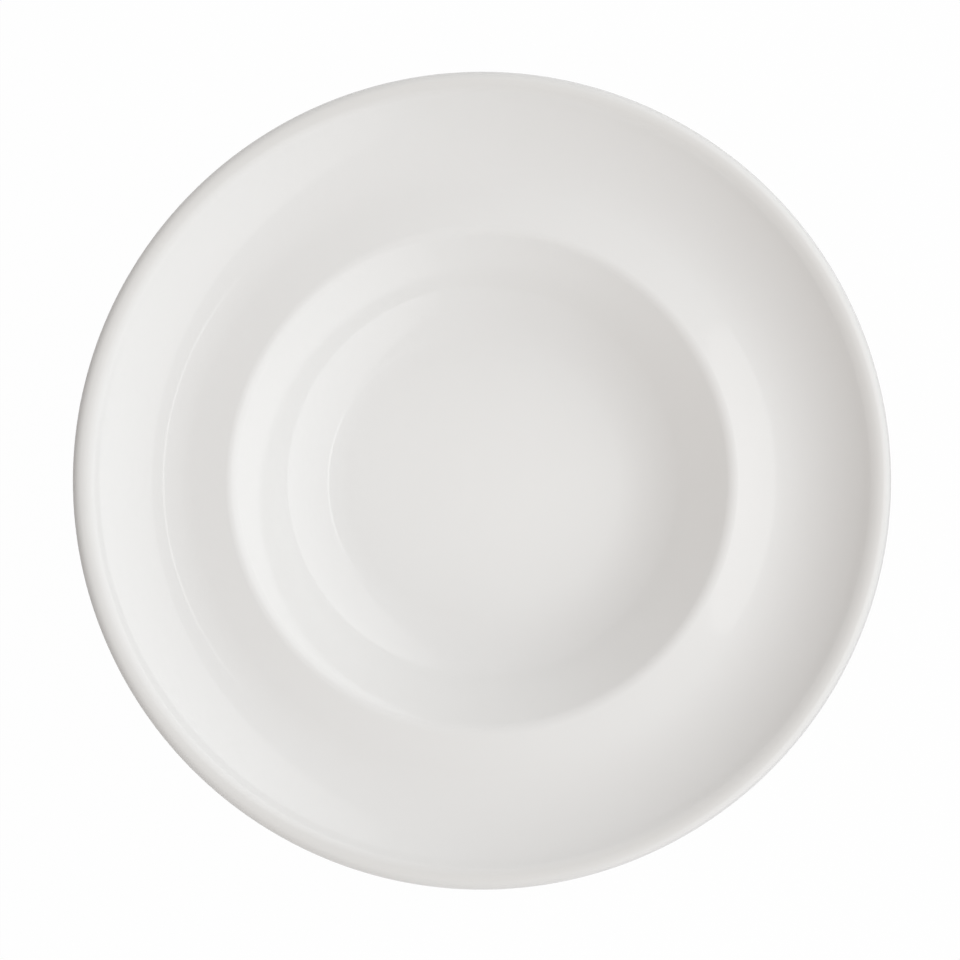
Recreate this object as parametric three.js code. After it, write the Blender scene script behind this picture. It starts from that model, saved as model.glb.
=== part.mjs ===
// A deep plate: one pressed porcelain body, and the two coats of glaze that are fired onto it.
// Millimetres, +Z up. The origin is the centre of the circle that the foot ring stands on.
import * as THREE from "three";

// Main sizes: the diameter over the glaze, and the rest on the bare body. Angles are in degrees. The flange
// first falls away from the mouth of the well, bends, and then turns up to the lip.
const plateDiameter = 280;
const mouthDiameter = 172.6;
const bendDiameter = 238;
const wellDepth = 25.6;
const wallAngle = 44.4;
const flangeRise = 13;
const flangeInnerSlope = -8;
const lipWidth = 5.3;
const lipThickness = 3.7;

// Roundings of the body's face and back.
const floorRadius = 31;
const mouthRadius = 4.7;
const flangeRadius = 35;
const crestRadius = 5.5;
const lipTopRadius = 2.75;
const lipUnderRadius = 2;
const underMouthRadius = 7;
const underFloorRadius = 16;

// Body and foot ring.
const bodyThickness = 4.6;
const footHeight = 3.2;
const footInset = 8.4;
const footWidth = 6;
const footEdgeRadius = 1.2;
const footRootRadius = 1.6;

// Glaze. The bare band of the foot ring ends at the wiped line.
const glazeThickness = 0.35;
const glazeBond = 0.02;
const wipedLineHeight = 1.5;

// Facets: turns of the revolved outlines, and the largest error of an arc's chords.
const turnSegments = 48;
const chordError = 0.2;

function corner(radius, height, rounding = 0) {
  return { at: new THREE.Vector2(radius, height), rounding };
}

// How far each corner's arc reaches along its two edges. Arcs that share an edge too short for both shrink.
function arcReaches(corners) {
  const wanted = corners.map(({ at, rounding }, index) => {
    if (rounding === 0) return 0;
    const back = corners[index - 1].at.clone().sub(at);
    const ahead = corners[index + 1].at.clone().sub(at);
    return rounding / Math.tan(back.angleTo(ahead) / 2);
  });
  const share = (first) => {
    const needed = wanted[first] + wanted[first + 1];
    const length = corners[first].at.distanceTo(corners[first + 1].at);
    return needed > length ? length / needed : 1;
  };
  return wanted.map((reach, index) => {
    if (reach === 0) return 0;
    return reach * Math.min(share(index - 1), share(index));
  });
}

// The points of one rounded corner: an arc tangent to both of its edges.
function cornerArc(before, at, after, reach) {
  const back = before.clone().sub(at).normalize();
  const ahead = after.clone().sub(at).normalize();
  const halfAngle = back.angleTo(ahead) / 2;
  const radius = reach * Math.tan(halfAngle);
  const middle = back.clone().add(ahead).setLength(radius / Math.sin(halfAngle)).add(at);
  const start = back.clone().multiplyScalar(reach).add(at).sub(middle).angle();
  const end = ahead.clone().multiplyScalar(reach).add(at).sub(middle).angle();
  const clockwise = back.cross(ahead) > 0;
  const chordAngle = 2 * Math.acos(Math.max(0, 1 - chordError / radius));
  const steps = Math.max(2, Math.ceil((Math.PI - 2 * halfAngle) / chordAngle));
  return new THREE.ArcCurve(middle.x, middle.y, radius, start, end, clockwise).getPoints(steps);
}

// An outline through corners, each rounded by its own arc. Two arcs that meet share one point.
function roundedOutline(corners) {
  const reaches = arcReaches(corners);
  const points = [];
  corners.forEach(({ at }, index) => {
    const arc = reaches[index] === 0
      ? [at.clone()]
      : cornerArc(corners[index - 1].at, at, corners[index + 1].at, reaches[index]);
    const joined = points.length > 0 && points.at(-1).distanceTo(arc[0]) < chordError / 2;
    points.push(...(joined ? arc.slice(1) : arc));
  });
  return points;
}

// An outline moved to the right of its direction of travel, which is outward on the plate.
function offsetOutline(points, distance) {
  const rightOf = (from, to) => new THREE.Vector2(to.y - from.y, from.x - to.x).normalize();
  const edges = points.slice(1).map((point, index) => rightOf(points[index], point));
  return points.map((point, index) => {
    const incoming = edges[Math.max(index - 1, 0)];
    const outgoing = edges[Math.min(index, edges.length - 1)];
    const mitre = incoming.clone().add(outgoing).divideScalar(1 + incoming.dot(outgoing));
    return mitre.multiplyScalar(distance).add(point);
  });
}

// Heights and radii of the body's face, without its glaze.
const bodyRadius = plateDiameter / 2 - glazeThickness;
const floorHeight = footHeight + bodyThickness;
const mouthHeight = floorHeight + wellDepth;
const crestHeight = mouthHeight + flangeRise;
const cornerRadius = mouthDiameter / 2 - wellDepth / Math.tan(THREE.MathUtils.degToRad(wallAngle));
const crestInnerRadius = bodyRadius - lipWidth;
const bendRise = (bendDiameter - mouthDiameter) / 2 * Math.tan(THREE.MathUtils.degToRad(flangeInnerSlope));

// Corners of the face from the lip's crest inward: flange, mouth of the well, floor.
const faceCorners = [
  corner(crestInnerRadius, crestHeight, crestRadius),
  corner(bendDiameter / 2, mouthHeight + bendRise, flangeRadius),
  corner(mouthDiameter / 2, mouthHeight, mouthRadius),
  corner(cornerRadius, floorHeight, floorRadius),
  corner(0, floorHeight),
];

// The back runs one body thickness under the face.
const backCorners = offsetOutline(faceCorners.map(({ at }) => at), -bodyThickness);
const [, backBend, backMouth, backFloor] = backCorners;
const footOuter = backFloor.x - footInset;
const footInner = footOuter - footWidth;

function recessOutline() {
  return roundedOutline([
    corner(0, footHeight),
    corner(footInner, footHeight, footRootRadius),
    corner(footInner, wipedLineHeight),
  ]);
}

function bareFootOutline() {
  return roundedOutline([
    corner(footInner, wipedLineHeight),
    corner(footInner, 0, footEdgeRadius),
    corner(footOuter, 0, footEdgeRadius),
    corner(footOuter, wipedLineHeight),
  ]);
}

function coatedOutline() {
  return roundedOutline([
    corner(footOuter, wipedLineHeight),
    corner(footOuter, footHeight, footRootRadius),
    corner(backFloor.x, backFloor.y, underFloorRadius),
    corner(backMouth.x, backMouth.y, underMouthRadius),
    corner(backBend.x, backBend.y, flangeRadius),
    corner(bodyRadius, crestHeight - lipThickness, lipUnderRadius),
    corner(bodyRadius, crestHeight, lipTopRadius),
    ...faceCorners,
  ]);
}

// Turns an outline of radii and heights about the plate's axis.
function revolve(outline) {
  const geometry = new THREE.LatheGeometry(outline, turnSegments);
  geometry.rotateX(Math.PI / 2);
  return geometry;
}

// The body: recess, bare foot ring, back, lip and face, in one closed outline.
function porcelainBody() {
  const outline = [...recessOutline(), ...bareFootOutline().slice(1), ...coatedOutline().slice(1)];
  const biscuit = new THREE.MeshStandardMaterial({ color: 0xe4dfd6, roughness: 0.85, metalness: 0 });
  return namedMesh("porcelain_body", outline, biscuit);
}

// One coat of glaze on a stretch of the body's outline.
function glazeOn(name, bodyOutline) {
  const inner = offsetOutline(bodyOutline, glazeBond);
  const outer = offsetOutline(bodyOutline, glazeThickness);
  const startsOnAxis = bodyOutline[0].x === 0;
  const outline = startsOnAxis ? [...outer, ...inner.reverse()] : [...inner.reverse(), ...outer];
  const glaze = new THREE.MeshStandardMaterial({ color: 0xf1efeb, roughness: 0.08, metalness: 0 });
  return namedMesh(name, outline, glaze);
}

function namedMesh(name, outline, material) {
  const mesh = new THREE.Mesh(revolve(outline), material);
  mesh.name = name;
  return mesh;
}

const plate = new THREE.Group();
plate.add(porcelainBody());
plate.add(glazeOn("glaze_coat", coatedOutline()));
plate.add(glazeOn("foot_recess_glaze", recessOutline()));

export default plate;
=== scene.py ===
import math

import bpy
from mathutils import Matrix, Vector


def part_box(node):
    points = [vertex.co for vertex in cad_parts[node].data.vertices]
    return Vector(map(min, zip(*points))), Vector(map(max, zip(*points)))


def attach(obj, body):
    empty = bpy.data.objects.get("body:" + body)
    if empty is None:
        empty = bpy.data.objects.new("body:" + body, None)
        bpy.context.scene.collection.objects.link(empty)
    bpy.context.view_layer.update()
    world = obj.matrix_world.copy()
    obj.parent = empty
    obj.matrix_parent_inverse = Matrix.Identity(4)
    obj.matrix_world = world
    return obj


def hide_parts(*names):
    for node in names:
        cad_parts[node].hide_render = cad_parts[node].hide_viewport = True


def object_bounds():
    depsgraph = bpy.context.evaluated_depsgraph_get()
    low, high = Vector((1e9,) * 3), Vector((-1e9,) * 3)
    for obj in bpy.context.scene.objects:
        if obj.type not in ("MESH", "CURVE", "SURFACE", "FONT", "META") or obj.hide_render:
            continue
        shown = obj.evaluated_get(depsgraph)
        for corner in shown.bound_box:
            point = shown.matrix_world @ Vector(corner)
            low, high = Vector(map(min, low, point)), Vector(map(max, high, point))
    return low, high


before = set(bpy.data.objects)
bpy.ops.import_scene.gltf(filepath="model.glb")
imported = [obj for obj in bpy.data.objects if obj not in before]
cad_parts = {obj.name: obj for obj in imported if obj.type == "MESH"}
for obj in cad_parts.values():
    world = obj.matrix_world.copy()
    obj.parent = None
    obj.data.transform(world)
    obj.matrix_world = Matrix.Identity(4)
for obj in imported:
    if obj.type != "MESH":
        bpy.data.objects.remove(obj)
cad_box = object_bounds()

# Porcelain body: floor, wall, flange, lip and foot ring, pressed from one piece of clay and fired to
# a hard, matt biscuit. Only the foot ring stays bare, wiped clean so that it does not stick to the
# kiln shelf, and it carries the fine rings that the wiping sponge and the wheel leave.
body_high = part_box("porcelain_body")[1]
body_radius = body_high.x
crest_height = body_high.z
foot_height = 0.0032
body_thickness = 0.0046
well_depth = 0.0256
mouth_radius = 0.0863
wall_angle = math.radians(44.4)
bend_radius = 0.119
flange_inner_slope = math.radians(-8)
lip_width = 0.0053
lip_thickness = 0.0037
foot_inset = 0.0084
foot_width = 0.006
wiped_line_height = 0.0015

floor_rounding = 0.031
mouth_rounding = 0.0047
flange_rounding = 0.035
crest_rounding = 0.0055
lip_top_rounding = 0.00275
lip_under_rounding = 0.002
under_mouth_rounding = 0.007
under_floor_rounding = 0.016
foot_edge_rounding = 0.0012
foot_root_rounding = 0.0016

arc_step = math.radians(1.5)
longest_stretch = 0.004
same_spot = 1e-7
turns = 240

clay_dark = (0.72, 0.67, 0.59)
clay_light = (0.80, 0.76, 0.69)
clay_speck = (0.50, 0.44, 0.36)


def rounded_path(corners):
    """Points (radius, height) through corners (radius, height, rounding), each rounded by an arc."""
    spots = [Vector(corner[:2]) for corner in corners]
    last = len(corners) - 1
    reaches = [0.0] * len(corners)
    for index in range(1, last):
        back = spots[index - 1] - spots[index]
        ahead = spots[index + 1] - spots[index]
        reaches[index] = corners[index][2] / math.tan(back.angle(ahead) / 2)

    # Arcs that share an edge too short for both shrink alike.
    shares = []
    for index in range(last):
        length = (spots[index + 1] - spots[index]).length
        needed = reaches[index] + reaches[index + 1]
        shares.append(length / needed if needed > length else 1.0)

    points = [spots[0]]
    for index in range(1, last):
        spot = spots[index]
        back = (spots[index - 1] - spot).normalized()
        ahead = (spots[index + 1] - spot).normalized()
        reach = reaches[index] * min(shares[index - 1], shares[index])
        half_angle = back.angle(ahead) / 2
        radius = reach * math.tan(half_angle)
        middle = spot + (back + ahead).normalized() * (reach / math.cos(half_angle))
        spoke = spot + back * reach - middle
        bend = math.pi - 2 * half_angle
        if back.cross(ahead) > 0:
            bend = -bend
        steps = max(2, math.ceil(abs(bend) / arc_step)) if radius > 0 else 0
        for step in range(steps + 1):
            turn = Matrix.Rotation(bend * step / max(steps, 1), 2)
            points.append(middle + turn @ spoke)
    points.append(spots[last])

    # Long straight stretches are divided, so that their shading stays flat.
    path = [points[0]]
    for point in points[1:]:
        start = path[-1]
        length = (point - start).length
        if length < same_spot:
            continue
        pieces = math.ceil(length / longest_stretch)
        path.extend(start.lerp(point, piece / pieces) for piece in range(1, pieces + 1))
    return path


def offset_path(path, distance):
    """The path moved to the right of its travel, which is outward on the plate."""
    moved = []
    for index, point in enumerate(path):
        before = path[index - 1] if index > 0 else point - (path[1] - point)
        after = path[index + 1] if index < len(path) - 1 else point + (point - before)
        incoming = (point - before).normalized()
        outgoing = (after - point).normalized()
        mitre = (incoming + outgoing) / (1 + incoming.dot(outgoing))
        moved.append(point + Vector((mitre.y, -mitre.x)) * distance)
    return moved


def turned_piece(name, outline, material):
    """A closed piece: an outline that starts and ends on the plate's axis, turned about it."""
    rings = outline[1:-1]
    points = [(0, 0, outline[0].y), (0, 0, outline[-1].y)]
    for radius, height in rings:
        for turn in range(turns):
            angle = 2 * math.pi * turn / turns
            points.append((radius * math.cos(angle), radius * math.sin(angle), height))

    def spot(ring, turn):
        return 2 + ring * turns + turn % turns

    faces = []
    for turn in range(turns):
        faces.append((0, spot(0, turn + 1), spot(0, turn)))
        faces.append((1, spot(len(rings) - 1, turn), spot(len(rings) - 1, turn + 1)))
        for ring in range(len(rings) - 1):
            faces.append((
                spot(ring, turn), spot(ring, turn + 1), spot(ring + 1, turn + 1), spot(ring + 1, turn)))
    mesh = bpy.data.meshes.new(name)
    mesh.from_pydata(points, [], faces)
    mesh.shade_smooth()
    mesh.materials.append(material)
    piece = bpy.data.objects.new(name, mesh)
    bpy.context.collection.objects.link(piece)
    return piece


def new_material(name):
    """A material with a Principled shader, and its node tree, shader and object coordinates."""
    material = bpy.data.materials.new(name)
    material.use_nodes = True
    tree = material.node_tree
    shader = tree.nodes["Principled BSDF"]
    place = tree.nodes.new("ShaderNodeTexCoord").outputs["Object"]
    return material, tree, shader, place


def noise(tree, place, grain, detail=2.0):
    """Noise whose grain is about that size, in metres."""
    node = tree.nodes.new("ShaderNodeTexNoise")
    node.inputs["Scale"].default_value = 1 / grain
    node.inputs["Detail"].default_value = detail
    tree.links.new(place, node.inputs["Vector"])
    return node.outputs["Fac"]


def ramp(tree, factor, low, high, start=0.3, end=0.7):
    """A value that goes from low to high as the factor goes from start to end."""
    node = tree.nodes.new("ShaderNodeMapRange")
    node.inputs["From Min"].default_value = start
    node.inputs["From Max"].default_value = end
    node.inputs["To Min"].default_value = low
    node.inputs["To Max"].default_value = high
    tree.links.new(factor, node.inputs["Value"])
    return node.outputs["Result"]


def blend_colours(tree, factor, first, second):
    """A colour that goes from the first to the second, each a colour or another node's output."""
    node = tree.nodes.new("ShaderNodeMix")
    node.data_type = "RGBA"
    tree.links.new(factor, node.inputs["Factor"])
    for letter, colour in (("A", first), ("B", second)):
        target = next(entry for entry in node.inputs if entry.name == letter and entry.type == "RGBA")
        if isinstance(colour, tuple):
            target.default_value = (*colour, 1)
        else:
            tree.links.new(colour, target)
    return next(entry for entry in node.outputs if entry.type == "RGBA")


def bumps(tree, height, depth, under=None):
    """Surface bumps of that depth, in metres, over those of another bump node."""
    node = tree.nodes.new("ShaderNodeBump")
    node.inputs["Distance"].default_value = depth
    tree.links.new(height, node.inputs["Height"])
    if under is not None:
        tree.links.new(under, node.inputs["Normal"])
    return node.outputs["Normal"]


def biscuit_material():
    """Bare fired clay: warm off-white, dry, finely sandy, with rings from the sponge."""
    material, tree, shader, place = new_material("bare_biscuit")
    cloud = ramp(tree, noise(tree, place, grain=0.012, detail=4), low=0, high=1)
    clay = blend_colours(tree, cloud, clay_dark, clay_light)
    sand = noise(tree, place, grain=0.0006, detail=1)
    specks = ramp(tree, sand, low=0, high=0.5, start=0.68, end=0.76)
    tree.links.new(blend_colours(tree, specks, clay, clay_speck), shader.inputs["Base Color"])
    dryness = ramp(tree, noise(tree, place, grain=0.003), low=0.72, high=0.92)
    tree.links.new(dryness, shader.inputs["Roughness"])
    rings = tree.nodes.new("ShaderNodeTexWave")
    rings.wave_type = "RINGS"
    rings.rings_direction = "Z"
    rings.inputs["Scale"].default_value = 260
    rings.inputs["Distortion"].default_value = 1.2
    rings.inputs["Detail"].default_value = 2
    tree.links.new(place, rings.inputs["Vector"])
    sponged = bumps(tree, rings.outputs["Fac"], depth=0.00004)
    grit = noise(tree, place, grain=0.0004)
    tree.links.new(bumps(tree, grit, depth=0.00008, under=sponged), shader.inputs["Normal"])
    return material


floor_height = foot_height + body_thickness
mouth_height = floor_height + well_depth
floor_corner = mouth_radius - well_depth / math.tan(wall_angle)
crest_inner = body_radius - lip_width
bend_height = mouth_height + (bend_radius - mouth_radius) * math.tan(flange_inner_slope)

face_corners = [
    (crest_inner, crest_height, crest_rounding),
    (bend_radius, bend_height, flange_rounding),
    (mouth_radius, mouth_height, mouth_rounding),
    (floor_corner, floor_height, floor_rounding),
    (0, floor_height, 0),
]
back_spots = offset_path([Vector(corner[:2]) for corner in face_corners], -body_thickness)
back_bend, back_mouth, back_floor = back_spots[1:4]
foot_outer = back_floor.x - foot_inset
foot_inner = foot_outer - foot_width

recess_corners = [
    (0, foot_height, 0),
    (foot_inner, foot_height, foot_root_rounding),
]
bare_foot_corners = [
    (foot_inner, 0, foot_edge_rounding),
    (foot_outer, 0, foot_edge_rounding),
]
coated_corners = [
    (foot_outer, foot_height, foot_root_rounding),
    (*back_floor, under_floor_rounding),
    (*back_mouth, under_mouth_rounding),
    (*back_bend, flange_rounding),
    (body_radius, crest_height - lip_thickness, lip_under_rounding),
    (body_radius, crest_height, lip_top_rounding),
    *face_corners,
]
body = turned_piece(
    "porcelain_body_fired",
    rounded_path([*recess_corners, *bare_foot_corners, *coated_corners]),
    biscuit_material())
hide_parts("porcelain_body")
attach(body, "root")

# Glaze coat: the white, glossy skin over the face, the lip and the back. The plate is dipped, and the
# glaze melts onto the body in the second firing. It is smooth and runs thin over the crest of the lip, where
# the clay shows through a little and painted shade darkens it more. It ends in a small rounded bead at the
# wiped line of the foot ring.
glaze_thickness = 0.00035
glaze_bond = 0.00002
bead_radius = (glaze_thickness - glaze_bond) / 2
bead_steps = 12

# Radii where the thin glaze and the painted shade begin toward the crest of the lip, are strongest, and end
# again.
crest_band_from = body_radius - 0.00715
crest_band_full_from = body_radius - 0.00465
crest_band_full_to = body_radius - 0.00285
crest_band_to = body_radius - 0.00065

glaze_white = (0.855, 0.854, 0.844)
glaze_whitest = (0.865, 0.865, 0.856)
# Painted shade over the thin glaze: the darker, warmer colour of the crest of the lip.
thin_glaze_and_shade = (0.810, 0.805, 0.790)


def maths(tree, operation, first, second):
    """One sum of two inputs, each a number or another node's output."""
    node = tree.nodes.new("ShaderNodeMath")
    node.operation = operation
    for socket, value in zip(node.inputs, (first, second)):
        if isinstance(value, (int, float)):
            socket.default_value = value
        else:
            tree.links.new(value, socket)
    return node.outputs["Value"]


def crest_thinness_and_shade(tree, place):
    """1 on the crest of the lip, where the glaze runs thin and shade is painted darker, and 0 on the rest of
    the plate.
    """
    axes = tree.nodes.new("ShaderNodeSeparateXYZ")
    tree.links.new(place, axes.inputs["Vector"])
    squares = [maths(tree, "MULTIPLY", axes.outputs[axis], axes.outputs[axis]) for axis in "XY"]
    radius = maths(tree, "POWER", maths(tree, "ADD", *squares), 0.5)
    inner = ramp(tree, radius, low=0, high=1, start=crest_band_from, end=crest_band_full_from)
    outer = ramp(tree, radius, low=1, high=0, start=crest_band_full_to, end=crest_band_to)
    return maths(tree, "MULTIPLY", inner, outer)


def glaze_material():
    """Opaque white glaze: a hair warmer and darker on the crest of the lip, where it is thin and shade is
    painted, faintly rippled and very glossy.
    """
    material, tree, shader, place = new_material("white_glaze")
    cloud = ramp(tree, noise(tree, place, grain=0.060, detail=3), low=0, high=1)
    white = blend_colours(tree, cloud, glaze_white, glaze_whitest)
    # Painted shade: the crest of the lip is coloured darker and warmer, over the thin glaze there.
    colour = blend_colours(tree, crest_thinness_and_shade(tree, place), white, thin_glaze_and_shade)
    tree.links.new(colour, shader.inputs["Base Color"])
    sheen = ramp(tree, noise(tree, place, grain=0.020), low=0.035, high=0.065)
    tree.links.new(sheen, shader.inputs["Roughness"])
    shader.inputs["IOR"].default_value = 1.5
    flow = bumps(tree, noise(tree, place, grain=0.014, detail=1), depth=0.000012)
    pores = noise(tree, place, grain=0.0025, detail=1)
    tree.links.new(bumps(tree, pores, depth=0.000001, under=flow), shader.inputs["Normal"])
    return material


def glaze_bead(first, second):
    """The rounded end of a coat at the wiped line, from the end of one of its faces round to the other."""
    middle = (first + second) / 2
    spoke = first - middle
    half_turn = math.pi if spoke.x < 0 else -math.pi
    points = []
    for step in range(1, bead_steps):
        turn = Matrix.Rotation(half_turn * step / bead_steps, 2)
        points.append(middle + turn @ spoke)
    return points


white_glaze = glaze_material()
bead_height = wiped_line_height + bead_radius
coat_path = rounded_path([(foot_outer, bead_height, 0), *coated_corners])
bonded = offset_path(coat_path, glaze_bond)
open_face = offset_path(coat_path, glaze_thickness)
coat = turned_piece(
    "glaze_coat_fired",
    [*reversed(bonded), *glaze_bead(bonded[0], open_face[0]), *open_face],
    white_glaze)
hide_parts("glaze_coat")
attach(coat, "root")

# Foot recess glaze: the same glaze on the underside, inside the foot ring, from the same dip. The bare ring
# parts it from the coat outside, and it ends in a like rounded bead at the wiped line.
recess_path = rounded_path([*recess_corners, (foot_inner, bead_height, 0)])
bonded = offset_path(recess_path, glaze_bond)
open_face = offset_path(recess_path, glaze_thickness)
recess = turned_piece(
    "foot_recess_glaze_fired",
    [*open_face, *glaze_bead(open_face[-1], bonded[-1]), *reversed(bonded)],
    white_glaze)
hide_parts("foot_recess_glaze")
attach(recess, "root")

# Table: a plain, pale sheet under the plate, wide enough to fill the view from every side. The camera
# and mirror reflections see it nearly white, with the plate's soft shadow left on it.
table_size = 12.0
table_gap = 0.0002
table_whiteness = 0.985
table_grey = (0.69, 0.69, 0.69)
table_light_grey = (0.71, 0.71, 0.71)


def seen_directly(tree):
    """1 for rays from the camera, from reflections and through glass, and 0 for diffuse light."""
    rays = tree.nodes.new("ShaderNodeLightPath").outputs
    through = maths(tree, "MAXIMUM", rays["Is Glossy Ray"], rays["Is Transmission Ray"])
    return maths(tree, "MAXIMUM", rays["Is Camera Ray"], through)


def table_material():
    """Matt pale sheet that shows white, and keeps a part of its own shading for the shadow."""
    material, tree, shader, place = new_material("pale_table")
    fibre = ramp(tree, noise(tree, place, grain=0.004, detail=3), low=0, high=1)
    tree.links.new(blend_colours(tree, fibre, table_grey, table_light_grey), shader.inputs["Base Color"])
    shader.inputs["Roughness"].default_value = 1
    shader.inputs["Specular IOR Level"].default_value = 0
    glow = tree.nodes.new("ShaderNodeEmission")
    share = ramp(tree, seen_directly(tree), low=0, high=table_whiteness, start=0, end=1)
    mixed = tree.nodes.new("ShaderNodeMixShader")
    tree.links.new(share, mixed.inputs["Fac"])
    tree.links.new(shader.outputs["BSDF"], mixed.inputs[1])
    tree.links.new(glow.outputs["Emission"], mixed.inputs[2])
    tree.links.new(mixed.outputs["Shader"], tree.nodes["Material Output"].inputs["Surface"])
    return material


def flat_sheet(name, corners, material):
    """A thin, flat sheet through four corners, which belongs to the studio and not to the plate."""
    mesh = bpy.data.meshes.new(name)
    mesh.from_pydata(corners, [], [(0, 1, 2, 3)])
    mesh.materials.append(material)
    sheet = bpy.data.objects.new(name, mesh)
    bpy.context.collection.objects.link(sheet)
    return sheet


edge = table_size / 2
table_corners = [(x, y, -table_gap) for x, y in ((-edge, -edge), (edge, -edge), (edge, edge), (-edge, edge))]
flat_sheet("table", table_corners, table_material())

# Studio light: a long, upright softbox on the right of the plate, the soft light of the room, and a low dark
# card on each side that keeps light off the lip. Two gridded lamps give the fine bright lines that the curved
# glaze mirrors on the left, and two more light the floor and the right wall of the well.
softbox_upper_edge = Vector((0.47, 0, 1.36))
softbox_lower_edge = Vector((0.35, 0, 0.002))
softbox_length = 4.0
softbox_even_length = 1.0
softbox_radiance = 0.74

# Brightness of the room by direction: an even level, a slope along a vector, and a curve given by a matrix.
room_level = 0.59
room_slant = (0.235, 0.07, -0.03)
room_bend = ((-0.065, 0.38, -0.195), (0.38, 0.62, -0.11), (-0.195, -0.11, 0))
room_darkest = 0.02
horizon_falloff = 4
plain_white = (1, 1, 1)
warm_white = (1, 0.88, 0.80)
warm_from = -0.2
warmest_from = -0.8

card_brown = (0.040, 0.030, 0.022)
card_light_brown = (0.050, 0.038, 0.028)
card_length = 1.4

# Where each card stands along the X axis, and its height.
left_card = (-0.19, 0.075)
right_card = (0.25, 0.07)


def gridded_lamp(name, place, size, tilt, spread, radiance, mirrored=True):
    """A small lamp with a grid: its cone's spread, and its tilt left of straight down, are in degrees."""
    light = bpy.data.lights.new(name, "AREA")
    light.shape = "RECTANGLE"
    light.size, light.size_y = size
    light.spread = math.radians(spread)
    light.energy = radiance * math.pi * light.size * light.size_y
    lamp = bpy.data.objects.new(name, light)
    lamp.matrix_world = Matrix.Translation(place) @ Matrix.Rotation(math.radians(tilt), 4, "Y")
    lamp.visible_camera = False
    lamp.visible_glossy = mirrored
    bpy.context.collection.objects.link(lamp)


gridded_lamp(
    "rim_lamp", place=(-0.049, 0.011, 0.357), size=(0.010, 0.075),
    tilt=28, spread=52, radiance=0.40)
gridded_lamp(
    "floor_lamp", place=(-0.008, 0.005, 0.119), size=(0.004, 0.026),
    tilt=22, spread=50, radiance=0.12)
gridded_lamp(
    "well_lamp", place=(0.250, 0, 0.350), size=(0.030, 0.030),
    tilt=33, spread=16, radiance=0.26, mirrored=False)
gridded_lamp(
    "wall_lamp", place=(-0.180, 0, 0.330), size=(0.020, 0.100),
    tilt=-40, spread=10, radiance=0.05, mirrored=False)


def softbox_material():
    """Thin glowing cloth, even along the middle of its length and fading out to both ends."""
    material, tree, shader, place = new_material("softbox_cloth")
    tree.nodes.remove(shader)
    axes = tree.nodes.new("ShaderNodeSeparateXYZ")
    tree.links.new(place, axes.inputs["Vector"])
    off_middle = maths(tree, "ABSOLUTE", axes.outputs["Y"], 0)
    glow = tree.nodes.new("ShaderNodeEmission")
    fading = ramp(
        tree, off_middle, low=softbox_radiance, high=0,
        start=softbox_even_length / 2, end=softbox_length / 2)
    tree.links.new(fading, glow.inputs["Strength"])
    cloth = tree.nodes.new("ShaderNodeAddShader")
    tree.links.new(glow.outputs["Emission"], cloth.inputs[0])
    tree.links.new(tree.nodes.new("ShaderNodeBsdfTransparent").outputs["BSDF"], cloth.inputs[1])
    tree.links.new(cloth.outputs["Shader"], tree.nodes["Material Output"].inputs["Surface"])
    return material


to_end = Vector((0, softbox_length / 2, 0))
softbox_corners = [
    softbox_upper_edge - to_end,
    softbox_lower_edge - to_end,
    softbox_lower_edge + to_end,
    softbox_upper_edge + to_end,
]
softbox = flat_sheet("softbox", softbox_corners, softbox_material())
softbox.visible_camera = False


def card_material():
    """Matt, dark brown card."""
    material, tree, shader, place = new_material("dark_card")
    fibre = ramp(tree, noise(tree, place, grain=0.004, detail=3), low=0, high=1)
    tree.links.new(blend_colours(tree, fibre, card_brown, card_light_brown), shader.inputs["Base Color"])
    shader.inputs["Roughness"].default_value = 1
    shader.inputs["Specular IOR Level"].default_value = 0
    return material


dark_card = card_material()
side = card_length / 2
for name, (place, height) in (("left_card", left_card), ("right_card", right_card)):
    corners = [(place, y, z) for y, z in ((-side, 0), (side, 0), (side, height), (-side, height))]
    card = flat_sheet(name, corners, dark_card)
    card.visible_camera = False
    card.visible_glossy = False


def along(tree, direction, vector):
    """How far a direction points along a vector."""
    node = tree.nodes.new("ShaderNodeVectorMath")
    node.operation = "DOT_PRODUCT"
    node.inputs[1].default_value = vector
    tree.links.new(direction, node.inputs[0])
    return node.outputs["Value"]


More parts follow.
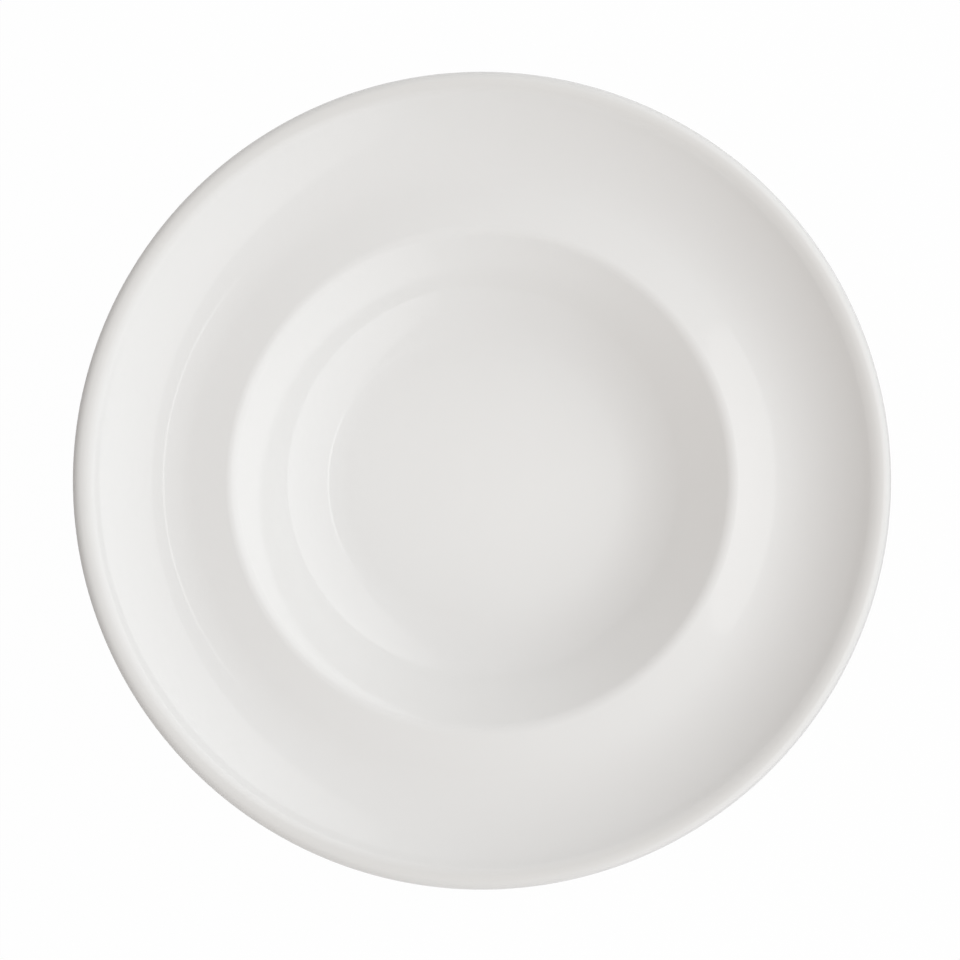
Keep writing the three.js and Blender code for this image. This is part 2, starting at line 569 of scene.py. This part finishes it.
room = bpy.data.worlds.new("room")
bpy.context.scene.world = room
room.use_nodes = True
tree = room.node_tree
direction = tree.nodes.new("ShaderNodeTexCoord").outputs["Generated"]
axes = tree.nodes.new("ShaderNodeSeparateXYZ")
tree.links.new(direction, axes.inputs["Vector"])
daylight = tree.nodes["Background"]
level = maths(tree, "ADD", along(tree, direction, room_slant), room_level)
for axis, row in zip("XYZ", room_bend):
    curved = maths(tree, "MULTIPLY", axes.outputs[axis], along(tree, direction, row))
    level = maths(tree, "ADD", level, curved)
level = maths(tree, "MAXIMUM", level, room_darkest)
lowness = maths(tree, "POWER", maths(tree, "SUBTRACT", 1, axes.outputs["Z"]), horizon_falloff)
dimming = ramp(tree, lowness, low=1, high=0, start=0, end=1)
lit = maths(tree, "MULTIPLY", level, dimming)
seen = seen_directly(tree)
strength = maths(tree, "ADD", maths(tree, "MULTIPLY", lit, maths(tree, "SUBTRACT", 1, seen)), seen)
tree.links.new(strength, daylight.inputs["Strength"])
leftness = ramp(tree, axes.outputs["X"], low=0, high=1, start=warm_from, end=warmest_from)
warmth = blend_colours(tree, leftness, plain_white, warm_white)
tree.links.new(blend_colours(tree, seen, warmth, plain_white), daylight.inputs["Color"])

# Camera: almost straight above the plate, a little to its right and toward the bottom of the picture, with
# the plate filling most of a square frame.
camera_distance = 1.2
camera_lean = math.radians(1)
camera_tip = math.radians(-2)
picture_pixels = 960
plate_pixels = 818.4
plate_middle = Vector((481.13, 479.06))

back = Vector((math.sin(camera_lean), math.sin(camera_tip), 0))
back.z = math.sqrt(1 - back.length_squared)
right = Vector((0, 1, 0)).cross(back).normalized()
plate_width = cad_box[1].x - cad_box[0].x
picture_width = plate_width * picture_pixels / plate_pixels
lens = bpy.data.cameras.new("camera")
lens.sensor_width = 36
lens.lens = lens.sensor_width * camera_distance / picture_width
lens.shift_x = (picture_pixels / 2 - plate_middle.x) / picture_pixels
lens.shift_y = (plate_middle.y - picture_pixels / 2) / picture_pixels
camera = bpy.data.objects.new("camera", lens)
widest_ring = Vector((0, 0, crest_height - lip_top_rounding))
camera_turn = Matrix((right, back.cross(right), back)).transposed().to_4x4()
camera.matrix_world = Matrix.Translation(widest_ring + back * camera_distance) @ camera_turn
bpy.context.collection.objects.link(camera)
bpy.context.scene.camera = camera
bpy.context.scene.view_settings.view_transform = "Standard"
